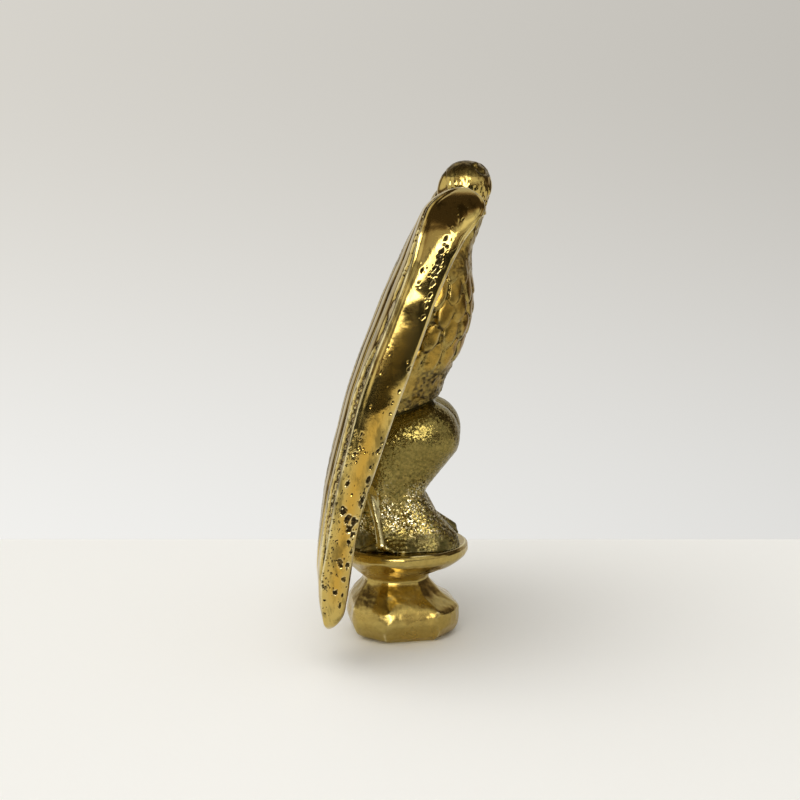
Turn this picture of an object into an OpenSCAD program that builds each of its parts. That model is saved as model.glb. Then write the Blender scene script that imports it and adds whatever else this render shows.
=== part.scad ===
// Eagle hood ornament: a cast brass eagle with half-spread, drooping wings, screwed down on an
// octagonal knob pedestal. The breast faces +X, the eagle's left is +Y, and +Z is up.
// The origin is the centre of the flat base face, at the mouth of the mounting thread.

/* [Overall] */
// Height from the base face to the crown of the head
height = 127; // [122:1:132]
// Distance between the outer edges of the two wings
wing_span = 95; // [92:1:100]

/* [Pedestal] */
// Width of the octagonal knob across its corners
knob_d = 30.6; // [29.6:0.2:32]
// Width of the base face across its corners
foot_d = 25.2; // [24:0.2:27]
// Diameter of the waist above the knob
waist_d = 17.6; // [17:0.1:19]
// Diameter of the flange that carries the figure
flange_d = 35.8; // [34:0.2:38]
// Thickness of the flange
flange_t = 3.2; // [2.8:0.1:3.6]

/* [Castings] */
// Greatest width of the breast
breast_w = 26; // [24:0.5:28]
// Thickness of the wing shell
wing_t = 2.4; // [2:0.1:2.8]
// Distance of the wing seats from the middle plane
seat_y = 9.5; // [9:0.1:10]

/* [Fasteners] */
// Minor diameter of the mounting thread, M8
mount_bore_d = 6.8; // [6.4:0.1:7.2]
// Outer diameter of the threaded bush
bush_d = 12; // [11:0.1:12.4]
// Diameter of the tie rod, M5
rod_d = 5; // [4:0.5:5]
// Diameter of the locating dowels
dowel_d = 3; // [2:0.5:3]

/* [Hidden] */

nominal_height = 127;
grow = height / nominal_height;

// Heights where the castings meet
flange_top = 25.2 * grow;
flange_low = flange_top - flange_t;
hip_z = 62 * grow;
collar_z = 113 * grow;

// The hip joint is a plane square to the leaning body. It passes through hip_z on the Z axis.
hip_tilt = 19;

// The flat at the back of the perch where the tail is pinned
tail_seat_x = -13.4;

// The stack inside the pedestal, from the bush up to the washer's seat
bush_l = 9;
nut_low = 10;
nut_h = 4;
nut_af = 8;
washer_d = 10;
washer_t = 1;
washer_low = nut_low + nut_h;
counterbore_top = washer_low + washer_t;
rod_clear = 0.3;
rod_top = 76 * grow;
dowel_reach = 5;
pin_reach = 3.5;
hip_pin_down = 6.5;
flange_pin_down = 2.5;
washer_clear = 0.2;

// Where the pins stand: off the Z axis, and up it for the tail's
flange_pin_y = 9.5;
hip_pin_x = -7;
neck_pin_x = 14.5;
tail_pin_z = 50 * grow;

// Side of the blocks that cut the joint planes
block = 100;

// Stations are [height, value] for the nominal figure. shape() reads them at any height.
function shape(z, stations) = lookup(z / grow, stations) * grow;
function ramp(low, high, step) = [for (z = [low : step : high]) z * grow];

torso_front = [[54, 10], [62, 9.3], [66, 10], [72, 12.4], [78, 16], [85, 18.2], [92, 18.9], [98, 18.5],
               [103, 17.9], [108, 19.8], [113, 21.6]];
torso_back = [[54, -13.2], [62, -12.6], [72, -11], [78, -9.5], [85, -7], [92, -3.6], [98, -0.4], [103, 2.6],
              [108, 5.8], [113, 9]];
torso_width = [[54, 0.72], [62, 0.78], [72, 0.9], [80, 1], [90, 1], [98, 0.88], [104, 0.7], [113, 0.5]];

// The perch flares into the flange at its foot and carries the rump at its top
perch_front = [[25.2, 15], [27, 12.2], [30, 9.4], [34, 6], [38, 4.4], [42, 5], [48, 8], [66, 9]];
perch_back = [[25.2, -15.6], [28, -15], [34, -14.6], [46, -14.4], [58, -13.6], [66, -12]];
perch_width = [[25.2, 15], [28, 12.6], [32, 10.4], [38, 8.6], [44, 8.6], [52, 9.3], [66, 9]];

// The wing's outer band lies between the ridge behind and the rim in front
rim_x = [[10.2, -16.3], [12, -14.3], [15, -12.6], [21, -11.4], [30, -10], [36, -9], [47, -6.2],
         [57, -2.8], [67, 0.6], [86, 7.4], [95, 10.5], [104, 14.3], [110, 17.4], [113.5, 20.7],
         [118, 22.2], [120.3, 21], [121.8, 17.3]];
ridge_x = [[10.2, -17], [13.5, -17.8], [19, -18.1], [25, -18], [31, -16.7], [47, -13.8],
           [59, -10.8], [72, -7.5], [82, -4], [92, 0], [105, 4.8], [113, 6.8], [117.5, 7.9],
           [120.3, 11.3], [121.8, 15]];
back_bulge = [[10.2, 0.2], [14, 1.7], [24, 2.3], [31, 3.7], [54, 4.7], [96, 4.6], [106, 3.3],
              [113, 1.2], [121.8, 0]];
wing_hollow = [[13, 0], [28, 0.7], [42, 1], [98, 1], [110, 0.45], [118, 0]];
// Shares of the way from the middle plane to the wing's outermost edge
wing_outer = [[10.2, 0.7], [12, 0.745], [15, 0.79], [21, 0.83], [30, 0.875], [41, 0.916],
              [56, 0.954], [70, 0.985], [85, 1], [98, 0.989], [106, 0.96], [113, 0.91],
              [118, 0.85], [120.3, 0.79], [121.8, 0.71]];
// How far the inner edge has left the wing seat, as a share of the half span
wing_inner = [[10.2, 0.44], [13, 0.379], [18, 0.316], [26, 0.242], [36, 0.147], [48, 0.053],
              [58, 0], [104, 0], [110, 0.095], [116, 0.232], [120.3, 0.37], [121.8, 0.47]];
wing_levels = [10.2, 12, 15, 19, 23, 28, 34, 41, 48, 55, 62, 69, 76, 83, 90, 97, 104, 107, 110,
               113, 116, 118, 120.3, 121.8];

// A closed solid through rings of points, each ring anticlockwise seen from above
module skin(rings) {
    n = len(rings[0]);
    last = len(rings) - 1;
    sides = [for (i = [0 : last - 1], j = [0 : n - 1])
             let (a = i * n + j, b = i * n + (j + 1) % n)
             each [[a, a + n, b + n], [a, b + n, b]]];
    bottom = [for (j = [0 : n - 1]) j];
    top = [for (j = [n - 1 : -1 : 0]) last * n + j];
    polyhedron(points = [for (ring = rings) each ring], faces = concat(sides, [bottom, top]));
}

// A ring at height z between two x values, a rounded box of the given half width
function oval(z, back, front, half_w, n = 28, squareness = 2.4) =
    [for (i = [0 : n - 1])
     let (a = 360 * i / n, c = cos(a), s = sin(a), e = 2 / squareness)
     [(back + front) / 2 + (front - back) / 2 * sign(c) * pow(abs(c), e),
      half_w * sign(s) * pow(abs(s), e), z]];

// The wing's back surface at share s of the way from its inner to its outer edge
function wing_back(z, s) =
    shape(z, ridge_x) - shape(z, back_bulge) * sin(180 * (0.12 + 0.88 * s));

// The front surface: the shell's thickness where the wing is hollow, out to the rim where solid
function wing_front(z, s) =
    let (back = wing_back(z, s), fill = 1 - lookup(z / grow, wing_hollow))
    back + wing_t + fill * sqrt(s) * max(0, shape(z, rim_x) - 0.6 - back - wing_t);

// One level of the left wing: a cupped shell whose outer edge is turned forward into a broad band
function wing_ring(z) =
    let (half = wing_span / 2,
         inner = seat_y + lookup(z / grow, wing_inner) * half,
         outer = lookup(z / grow, wing_outer) * half,
         w = outer - inner,
         wall = min(wing_t / w, 0.25),
         rim = shape(z, rim_x),
         ridge = shape(z, ridge_x))
    [for (s = [0, 0.28, 0.55, 1 - 1.6 * wall]) [wing_front(z, s), inner + s * w, z],
     [rim - 0.3, inner + (1 - wall) * w, z],
     [rim, outer - 0.06 * w, z],
     [(rim + ridge) / 2, outer, z],
     [ridge, outer - 0.03 * w, z],
     for (s = [0.78, 0.52, 0.26, 0]) [wing_back(z, s), inner + s * w, z]];

root_t = 5;
dowel_in = 4.6;

// The block that seats on the torso's side. From above it follows the slant of the back.
module wing_root(thickness) {
    low = 68 * grow;
    high = 103 * grow;
    translate([0, seat_y, 0])
        rotate([90, 0, 0])
            mirror([0, 0, 1])
                linear_extrude(thickness)
                    polygon([[wing_back(low, 0) + 0.2, low], [wing_back(low, 0) + 9, low],
                             [wing_back(high, 0) + 8, high], [wing_back(high, 0) + 0.6, high]]);
}

// Both dowels of the left wing, along Y through the seat
module wing_dowel_pair(reach_in, reach_out) {
    for (z = [76, 95] * grow)
        translate([wing_back(z, 0) + dowel_in, seat_y - reach_in, z])
            rotate([-90, 0, 0])
                cylinder(d = dowel_d, h = reach_in + reach_out, $fn = 32);
}

module left_wing() {
    color("goldenrod")
        difference() {
            union() {
                skin([for (z = wing_levels * grow) wing_ring(z)]);
                wing_root(root_t);
            }
            wing_dowel_pair(0, pin_reach);
        }
}

module right_wing() {
    mirror([0, 1, 0]) left_wing();
}

// Everything above the hip joint, or below it when below is 1
module beyond_hip(below = 0) {
    translate([0, 0, hip_z])
        rotate([0, -hip_tilt, 0])
            mirror([0, 0, below])
                translate([-block / 2, -block / 2, 0]) cube(block);
}

module torso() {
    color("goldenrod")
        difference() {
            skin([for (z = concat(ramp(54, 111, 3), [collar_z]))
                  oval(z, shape(z, torso_back), shape(z, torso_front),
                       lookup(z / grow, torso_width) * breast_w / 2)]);
            for (side = [0, 1])
                mirror([0, side, 0]) {
                    wing_root(breast_w);
                    wing_dowel_pair(dowel_reach, 0);
                }
            beyond_hip(1);
            cylinder(d = rod_d, h = rod_top, $fn = 48);
            translate([0, 0, hip_z]) register_pin_at_hip(pin_reach, hip_pin_down);
            translate([0, 0, collar_z]) neck_pin_at_collar(dowel_reach);
        }
}

head_x = 17.3 * grow;
head_z = 120.8 * grow;
head_r = 6.2 * grow;

// The head is turned to the eagle's left, so the beak points along +Y
module head() {
    color("goldenrod")
        difference() {
            union() {
                hull() {
                    translate([0, 0, collar_z])
                        linear_extrude(0.6)
                            polygon([for (p = oval(0, shape(collar_z, torso_back),
                                                   shape(collar_z, torso_front),
                                                   lookup(113, torso_width) * breast_w / 2))
                                     [p.x, p.y]]);
                    translate([head_x, 0, head_z]) sphere(head_r, $fn = 32);
                }
                hull() {
                    translate([head_x + 0.3, 4.5, head_z + 0.6]) sphere(3.2, $fn = 32);
                    translate([head_x + 0.6, 9.4, head_z]) sphere(1.9, $fn = 32);
                    translate([head_x + 0.8, 11.6, head_z - 3.6]) sphere(0.8, $fn = 32);
                }
            }
            translate([0, 0, collar_z]) neck_pin_at_collar(0, dowel_reach);
        }
}

thigh_r = 9.6;
knee_r = 5.6;
shank_r = 3.6;
foot_r = 2.6;

// The two thighs and feet, with the stippled perch that they grow out of
module legs_and_perch() {
    color("darkgoldenrod")
        difference() {
            union() {
                skin([for (z = concat([flange_top], ramp(27, 65, 2)))
                      oval(z, shape(z, perch_back), shape(z, perch_front),
                           shape(z, perch_width), 32, 2.2)]);
                for (side = [-1, 1]) {
                    hull() {
                        translate([6.3, side * 5, 54.8 * grow]) sphere(thigh_r, $fn = 32);
                        translate([-1, side * 3, 39 * grow]) sphere(knee_r, $fn = 32);
                    }
                    hull() {
                        translate([3, side * 4.4, 36 * grow]) sphere(shank_r, $fn = 32);
                        translate([10.6, side * 6.6, flange_top + 2.7]) sphere(foot_r, $fn = 32);
                    }
                }
            }
            beyond_hip();
            translate([0, 0, flange_top]) cylinder(d = rod_d + 2 * rod_clear, h = hip_z, $fn = 48);
            translate([0, 0, flange_top]) register_pin_at_flange(0, pin_reach);
            translate([0, 0, hip_z]) register_pin_at_hip(0, hip_pin_down);
            tail_pin_at_rump(0, pin_reach);
            translate([tail_seat_x - block, -block / 2, flange_top - 1]) cube(block);
        }
}

// A wedge of tail feathers with a flat front, pinned to the back of the perch
module tail() {
    tail_low = flange_top + 1.2;
    tail_high = 57 * grow;
    tail_back_x = -17.8;
    tail_half = 8.8;
    color("goldenrod")
        difference() {
            skin([for (t = [0 : 0.1 : 1])
                  let (z = tail_low + t * (tail_high - tail_low), back = tail_back_x + 0.8 * t,
                       half = tail_half - 2.6 * t)
                  [[back, -half * 0.8, z], [tail_seat_x, -half, z],
                   [tail_seat_x, half, z], [back, half * 0.8, z]]]);
            tail_pin_at_rump(pin_reach);
        }
}

// The pedestal's outlines, as [radius, height] from the base face up
knob_profile = [[0, 0], [foot_d / 2, 0], [foot_d / 2 + 1.5, 1.2], [knob_d / 2 + 0.4, 3.6],
                [knob_d / 2 + 0.4, 7.2], [knob_d / 2 - 1.9, 8.9], [knob_d / 2 - 4.2, 9.7],
                [0, 9.7]];
waist_profile = [[0, 8], [waist_d / 2 + 3, 8.1], [waist_d / 2 + 1.8, 10.8],
                 [waist_d / 2 + 0.4, 12.8], [waist_d / 2, 14.6], [waist_d / 2 + 0.5, 16.2],
                 [waist_d / 2 + 2.2, 17.7], [waist_d / 2 + 5, 19.6],
                 [waist_d / 2 + 6.6, flange_low + 0.8], [0, flange_low + 0.8]];
flange_profile = [[0, flange_low - 1], [flange_d / 2 - 4, flange_low - 1],
                  [flange_d / 2 - 1.4, flange_low], [flange_d / 2, flange_low + 1.4],
                  [flange_d / 2, flange_top - 0.7], [flange_d / 2 - 0.7, flange_top],
                  [0, flange_top]];

// The waist is turned about an axis of its own, a little behind the middle
waist_x = -1.8;
waist_turn = 40;

module pedestal() {
    facet_turn = -9.5;
    color("darkgoldenrod")
        difference() {
            union() {
                intersection() {
                    rotate_extrude($fn = 96) polygon(knob_profile);
                    translate([0, 0, -1])
                        rotate([0, 0, facet_turn]) cylinder(d = knob_d, h = 12, $fn = 8);
                }
                translate([waist_x, 0, 0])
                    rotate([0, 0, waist_turn])
                        rotate_extrude($fn = 96) polygon(waist_profile);
                rotate_extrude($fn = 96) polygon(flange_profile);
            }
            translate([0, 0, -1]) cylinder(d = bush_d, h = counterbore_top + 1, $fn = 64);
            cylinder(d = rod_d + 2 * rod_clear, h = flange_top + 1, $fn = 48);
            translate([0, 0, flange_top]) register_pin_at_flange(flange_pin_down, 1);
        }
}

// Pins are drawn from reach below a joint face to reach above it
module register_pin_at_flange(below = 0, above = 0) {
    translate([0, flange_pin_y, -below]) cylinder(d = dowel_d, h = below + above, $fn = 32);
}

module register_pin_at_hip(above = 0, below = 0) {
    translate([hip_pin_x, 0, -below]) cylinder(d = dowel_d, h = below + above, $fn = 32);
}

module neck_pin_at_collar(below = 0, above = 0) {
    translate([neck_pin_x, 0, -below]) cylinder(d = dowel_d, h = below + above, $fn = 32);
}

module tail_pin_at_rump(behind = 0, inside = 0) {
    translate([tail_seat_x - behind, 0, tail_pin_z])
        rotate([0, 90, 0])
            cylinder(d = dowel_d, h = behind + inside, $fn = 32);
}

module wing_dowels() {
    color("silver")
        for (side = [0, 1])
            mirror([0, side, 0]) wing_dowel_pair(dowel_reach, pin_reach);
}

module neck_pin() {
    color("silver") translate([0, 0, collar_z]) neck_pin_at_collar(dowel_reach, dowel_reach);
}

module tail_pin() {
    color("silver") tail_pin_at_rump(pin_reach, pin_reach);
}

module register_pins() {
    color("silver") {
        translate([0, 0, flange_top]) register_pin_at_flange(flange_pin_down, pin_reach);
        translate([0, 0, hip_z]) register_pin_at_hip(pin_reach, hip_pin_down);
    }
}

module tie_rod() {
    color("silver")
        translate([0, 0, nut_low]) cylinder(d = rod_d, h = rod_top - nut_low, $fn = 48);
}

module tie_washer() {
    color("silver")
        translate([0, 0, washer_low])
            difference() {
                cylinder(d = washer_d, h = washer_t, $fn = 64);
                translate([0, 0, -1]) cylinder(d = rod_d + 2 * washer_clear, h = washer_t + 2, $fn = 48);
            }
}

module tie_nut() {
    color("silver")
        translate([0, 0, nut_low])
            difference() {
                cylinder(d = nut_af / cos(30), h = nut_h, $fn = 6);
                translate([0, 0, -1]) cylinder(d = rod_d, h = nut_h + 2, $fn = 48);
            }
}

module mount_bush() {
    color("gold")
        difference() {
            cylinder(d = bush_d, h = bush_l, $fn = 64);
            translate([0, 0, -1]) cylinder(d = mount_bore_d, h = bush_l + 2, $fn = 64);
        }
}

torso();
head();
legs_and_perch();
tail();
right_wing();
left_wing();
pedestal();
wing_dowels();
neck_pin();
tail_pin();
register_pins();
tie_rod();
tie_washer();
tie_nut();
mount_bush();
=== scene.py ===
"""The looks of the eagle hood ornament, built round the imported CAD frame.

The breast faces +X, the eagle's left is +Y and +Z is up. Shapes are worked out in
millimetres in the frame's own axes, and mesh_piece() turns them into metres.
"""

import math

import bpy
import numpy as np
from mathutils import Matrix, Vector


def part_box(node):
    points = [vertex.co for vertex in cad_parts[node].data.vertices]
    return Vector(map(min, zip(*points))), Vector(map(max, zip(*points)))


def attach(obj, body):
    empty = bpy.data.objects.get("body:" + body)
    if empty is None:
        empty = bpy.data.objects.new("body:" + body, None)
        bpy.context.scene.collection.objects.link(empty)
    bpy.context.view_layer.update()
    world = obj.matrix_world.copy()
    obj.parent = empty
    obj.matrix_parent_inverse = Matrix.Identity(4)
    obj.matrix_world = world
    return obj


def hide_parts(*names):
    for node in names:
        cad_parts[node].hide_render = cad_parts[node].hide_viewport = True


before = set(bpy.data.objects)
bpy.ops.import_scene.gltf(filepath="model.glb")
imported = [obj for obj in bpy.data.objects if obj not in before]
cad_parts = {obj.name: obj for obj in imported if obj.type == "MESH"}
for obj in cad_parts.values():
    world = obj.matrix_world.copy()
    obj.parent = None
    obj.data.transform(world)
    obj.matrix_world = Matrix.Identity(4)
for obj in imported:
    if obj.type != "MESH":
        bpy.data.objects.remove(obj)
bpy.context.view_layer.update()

MM = 0.001


def dense(full):
    """A mesh density: the full one."""
    return full


# ---------------------------------------------------------------- small maths


def curve(stations, soft=2.0):
    """A smooth function through hand-set (place, value) stations."""
    at = np.array([p for p, _ in stations], float)
    value = np.array([v for _, v in stations], float)
    fine = np.linspace(at[0], at[-1], 800)
    step = fine[1] - fine[0]
    line = np.interp(fine, at, value)
    reach = int(3 * soft / step) + 1
    before = 2 * line[0] - line[1 : reach + 1][::-1]
    after = 2 * line[-1] - line[-reach - 1 : -1][::-1]
    kernel = np.exp(-0.5 * (np.arange(-reach, reach + 1) * step / soft) ** 2)
    smooth = np.convolve(np.concatenate([before, line, after]), kernel / kernel.sum(), "valid")
    return lambda z: np.interp(z, fine, smooth)


def smoothstep(low, high, value):
    t = np.clip((value - low) / (high - low), 0, 1)
    return t * t * (3 - 2 * t)


def bump(value, width):
    return np.exp(-((value / width) ** 2))


def blend_min(a, b, soft):
    """The smaller of two fields, with the crease between them rounded off."""
    h = np.clip(0.5 + 0.5 * (b - a) / soft, 0, 1)
    return b * (1 - h) + a * h - soft * h * (1 - h)


def hashed(ix, iy, iz, seed):
    """A repeatable number from -1 to 1 for each lattice point."""
    h = ix.astype(np.uint32) * np.uint32(0x8DA6B343)
    h ^= iy.astype(np.uint32) * np.uint32(0xD8163841)
    h ^= iz.astype(np.uint32) * np.uint32(0xCB1AB31F)
    h ^= np.uint32((seed * 0x9E3779B1 + 0x7F4A7C15) & 0xFFFFFFFF)
    h ^= h >> np.uint32(15)
    h *= np.uint32(0x2C1B3C6D)
    h ^= h >> np.uint32(12)
    h *= np.uint32(0x297A2D39)
    h ^= h >> np.uint32(15)
    return h.astype(np.float64) / 2147483648.0 - 1.0


def noise(points, size, seed=0):
    """Smooth random waves of about the given size, from -1 to 1."""
    q = points / size
    cell = np.floor(q)
    f = q - cell
    f = f * f * f * (f * (f * 6 - 15) + 10)
    c = cell.astype(np.int64)
    total = 0
    for dx in (0, 1):
        wx = f[..., 0] if dx else 1 - f[..., 0]
        for dy in (0, 1):
            wy = f[..., 1] if dy else 1 - f[..., 1]
            for dz in (0, 1):
                wz = f[..., 2] if dz else 1 - f[..., 2]
                corner = hashed(c[..., 0] + dx, c[..., 1] + dy, c[..., 2] + dz, seed)
                total = total + wx * wy * wz * corner
    return total


def grain(points, size, seed=0):
    """Rounded sand grains of the given size: 1 at a grain's middle, 0 between grains."""
    q = points / size
    cell = np.floor(q).astype(np.int64)
    nearest = np.full(points.shape[:-1], 9.0)
    for dx in (-1, 0, 1):
        for dy in (-1, 0, 1):
            for dz in (-1, 0, 1):
                ix, iy, iz = cell[..., 0] + dx, cell[..., 1] + dy, cell[..., 2] + dz
                px = ix + 0.5 + 0.4 * hashed(ix, iy, iz, seed)
                py = iy + 0.5 + 0.4 * hashed(ix, iy, iz, seed + 1)
                pz = iz + 0.5 + 0.4 * hashed(ix, iy, iz, seed + 2)
                d = (q[..., 0] - px) ** 2 + (q[..., 1] - py) ** 2 + (q[..., 2] - pz) ** 2
                nearest = np.minimum(nearest, d)
    return 1 - np.clip(np.sqrt(nearest) / 0.8, 0, 1) ** 2


# ---------------------------------------------------------------- meshes


def ring_normals(grid):
    """Outward unit normals of a tube of rings, each anticlockwise seen from above."""
    along = np.gradient(grid, axis=0)
    around = np.roll(grid, -1, axis=1) - np.roll(grid, 1, axis=1)
    n = np.cross(around, along)
    return n / np.maximum(np.linalg.norm(n, axis=2, keepdims=True), 1e-9)


def quads_of(levels, around):
    """The faces between neighbouring rings of a tube."""
    i, j = np.meshgrid(np.arange(levels - 1), np.arange(around), indexing="ij")
    a = i * around + j
    b = i * around + (j + 1) % around
    return np.stack([a, b, b + around, a + around], axis=-1).reshape(-1, 4)


def tube(grid):
    """Vertices and faces of a tube of rings with a cap at each end."""
    levels, around = grid.shape[:2]
    verts = grid.reshape(-1, 3)
    low, high = len(verts), len(verts) + 1
    verts = np.vstack([verts, grid[0].mean(axis=0), grid[-1].mean(axis=0)])
    k = np.arange(around)
    last = (levels - 1) * around
    bottom = np.stack([np.full(around, low), (k + 1) % around, k], axis=-1)
    top = np.stack([np.full(around, high), last + k, last + (k + 1) % around], axis=-1)
    return verts, [quads_of(levels, around), bottom, top]


def on_tube(values, cap=0.0):
    """A value for each of a tube's vertices, from those on its grid and one for its caps."""
    return np.append(values.reshape(-1), [cap, cap])


def lattice(low, high, step):
    """The sample points of a box, as an array of shape (nx, ny, nz, 3)."""
    axes = [np.arange(a, b + step, step) for a, b in zip(low, high)]
    return np.stack(np.meshgrid(*axes, indexing="ij"), axis=-1)


def round_cone(points, a, b, ra, rb):
    """Distance to a rod with rounded ends whose radius runs from ra at a to rb at b."""
    a, b = np.array(a, float), np.array(b, float)
    along = b - a
    share = np.clip(((points - a) @ along) / (along @ along), 0, 1)
    off = points - a - share[..., None] * along
    return np.sqrt(np.einsum("...i,...i->...", off, off)) - (ra + (rb - ra) * share)


def ball(points, centre, radii):
    q = (points - np.array(centre, float)) / np.array(radii, float)
    return (np.sqrt(np.einsum("...i,...i->...", q, q)) - 1) * min(radii)


def carved(field, points, detail, reach=1.6):
    """Adds detail(points) to the field, worked out near its surface only."""
    near = np.abs(field) < reach
    field[near] += detail(points[near])
    return field


def surface_net(values, low, step):
    """Vertices and faces of the surface where a sampled field passes through zero."""
    inside = values < 0
    corners = [(i, j, k) for i in (0, 1) for j in (0, 1) for k in (0, 1)]
    nx, ny, nz = (n - 1 for n in values.shape)
    filled = sum(inside[i : i + nx, j : j + ny, k : k + nz].astype(np.int8) for i, j, k in corners)
    active = (filled > 0) & (filled < 8)
    cells = np.argwhere(active)
    index = np.full(active.shape, -1, np.int64)
    index[active] = np.arange(len(cells))
    total = np.zeros((len(cells), 3))
    hits = np.zeros(len(cells))
    for a in corners:
        for axis in range(3):
            if a[axis]:
                continue
            b = tuple(v + (n == axis) for n, v in enumerate(a))
            va = values[tuple((cells + a).T)]
            vb = values[tuple((cells + b).T)]
            cross = (va < 0) != (vb < 0)
            share = np.where(cross, va / np.where(cross, va - vb, 1), 0)
            point = np.array(a, float) + share[:, None] * np.eye(3)[axis]
            total += np.where(cross[:, None], point, 0)
            hits += cross
    verts = np.array(low) + (cells + total / hits[:, None]) * step
    blocks = []
    for axis in range(3):
        p, q = (axis + 1) % 3, (axis + 2) % 3
        lower = np.take(inside, range(values.shape[axis] - 1), axis)
        upper = np.take(inside, range(1, values.shape[axis]), axis)
        at = np.argwhere(lower != upper)
        at = at[(at[:, p] > 0) & (at[:, q] > 0)]
        outward = lower[tuple(at.T)]
        step_p, step_q = np.eye(3, dtype=int)[p], np.eye(3, dtype=int)[q]
        around = (-step_p - step_q, -step_q, 0 * step_p, -step_p)
        quad = np.stack([index[tuple((at + o).T)] for o in around], axis=-1)
        blocks.append(np.where(outward[:, None], quad, quad[:, ::-1]))
    return verts, [np.concatenate(blocks)]


def edges_of(faces):
    pairs = [np.stack([block, np.roll(block, -1, axis=1)], axis=-1).reshape(-1, 2)
             for block in faces]
    return np.concatenate(pairs).T


def spread(values, edges, rounds):
    """Each vertex value evened out with its neighbours' values."""
    a, b = edges
    size = len(values)
    count = np.maximum(np.bincount(a, minlength=size) + np.bincount(b, minlength=size), 1)
    for _ in range(rounds):
        around = np.bincount(a, values[b], size) + np.bincount(b, values[a], size)
        values = 0.5 * values + 0.5 * around / count
    return values


def vertex_normals(verts, faces):
    total = np.zeros_like(verts)
    for block in faces:
        p = verts[block]
        n = np.cross(p[:, 2] - p[:, 0], p[:, -1] - p[:, 1])
        for k in range(block.shape[1]):
            for axis in range(3):
                total[:, axis] += np.bincount(block[:, k], n[:, axis], len(verts))
    return total / np.maximum(np.linalg.norm(total, axis=1, keepdims=True), 1e-12)


def relief(verts, faces, rounds, full):
    """From 0 in a recess to 1 on a crest, with 0.5 on level ground."""
    edges = edges_of(faces)
    soft = np.stack([spread(verts[:, axis], edges, rounds) for axis in range(3)], axis=1)
    out = np.einsum("ij,ij->i", verts - soft, vertex_normals(verts, faces))
    return np.clip(0.5 + 0.5 * out / full, 0, 1)


def into_box(verts, node):
    """Moves and stretches the vertices slightly so that they fill their CAD node's box."""
    low, high = (np.array(c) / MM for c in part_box(node))
    have_low, have_high = verts.min(axis=0), verts.max(axis=0)
    return low + (verts - have_low) * (high - low) / (have_high - have_low)


def mesh_piece(node, verts, faces, slot, material, **maps):
    """Makes the casting's mesh, in metres, and ties it to the frame in place of its CAD node.

    The maps are vertex values for the material: relief and form (0 low, 0.5 level, 1 high,
    from fine and broad shapes), and pitted, warm and sandy (0 to 1, and 0 where left out).
    """
    name = node + "_casting"
    mesh = bpy.data.meshes.new(name)
    counts = np.concatenate([np.full(len(block), block.shape[1]) for block in faces])
    flat = np.concatenate([block.reshape(-1) for block in faces]).astype(np.int32)
    mesh.vertices.add(len(verts))
    mesh.vertices.foreach_set("co", (verts * MM).astype(np.float32).reshape(-1))
    mesh.loops.add(len(flat))
    mesh.loops.foreach_set("vertex_index", flat)
    mesh.polygons.add(len(counts))
    starts = np.concatenate([[0], np.cumsum(counts)[:-1]]).astype(np.int32)
    mesh.polygons.foreach_set("loop_start", starts)
    mesh.polygons.foreach_set("use_smooth", np.ones(len(counts), bool))
    mesh.update(calc_edges=True)
    mesh.validate()
    for key, values in maps.items():
        layer = mesh.attributes.new(key, "FLOAT", "POINT")
        layer.data.foreach_set("value", values.astype(np.float32))
    mesh.materials.append(material)
    piece = bpy.data.objects.new(name, mesh)
    bpy.context.scene.collection.objects.link(piece)
    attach(piece, "root")
    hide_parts(node)
    print(name, len(verts), "vertices", sum(len(b) * (b.shape[1] - 2) for b in faces), "triangles")


# ---------------------------------------------------------------- wings

# Along the wing's height: where its front rim and its back ridge lie, how far its back
# swells, how hollow its front is, and its outer and inner outlines
rim_x = curve(
    [(10.2, -16.6), (12, -14.5), (15, -12.6), (21, -11.4), (30, -10), (36, -9), (47, -6.2),
     (57, -2.8), (67, 0.6), (86, 7.4), (95, 10.5), (104, 14.3), (110, 17.4), (113.5, 20.4),
     (116, 21.9), (118, 22.3), (120.3, 21), (121.8, 17.6)], 0.9)
ridge_x = curve(
    [(10.2, -17.4), (13.5, -17.9), (19, -18.2), (25, -18), (31, -16.7), (47, -13.8),
     (59, -10.8), (72, -7.5), (82, -4), (92, 0), (105, 4.8), (113, 6.9), (117.5, 8.2),
     (120.3, 11.3), (121.8, 15)], 1.2)
back_bulge = curve(
    [(10.2, 0.1), (14, 1.5), (24, 2.3), (31, 3.7), (54, 4.7), (96, 4.6), (106, 3.6), (113, 1.8),
     (118.5, 0.7), (121.8, 0.1)], 2.0)
hollow = curve([(13, 0), (28, 0.7), (42, 1), (98, 1), (110, 0.45), (118, 0)], 2.5)
outer_y = curve(
    [(10.2, 32.8), (10.7, 34.4), (12, 36.2), (15, 38.0), (21, 39.6), (30, 41.5), (41, 43.6),
     (56, 45.7), (70, 47.1), (78, 47.4), (88, 47.0), (96, 46.4), (104, 45.6), (108, 45.0),
     (112, 43.9), (115, 42.2), (118, 39.6), (120.3, 36.4), (121.8, 32.8)], 0.8)
inner_y = curve(
    [(10.2, 31.2), (10.7, 28.2), (12, 23.5), (15, 18.6), (20, 14.8), (26, 12.2), (36, 10.6),
     (48, 9.8), (58, 9.5), (104, 9.5), (108, 12), (113, 17), (118, 23), (120.3, 27),
     (121.8, 31)], 0.8)
# Where the band bulges most, as a share of the way from the ridge to the rim
crown = curve([(10, 0.5), (60, 0.42), (85, 0.34), (94, 0.28), (100, 0.38), (106, 0.5),
               (110, 0.6), (122, 0.6)], 2.0)
wing_low, wing_high = 10.2, 121.8
# The long feathers' width, and how far from the ridge the first line between them runs
feather = 6.2
first_line = 2.9
# The distance over the rounded back for each millimetre of its width
round_back = 1.05
wall_thick = 2.3
BACK, BAND, RIM, FRONT, EDGE = range(5)


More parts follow.
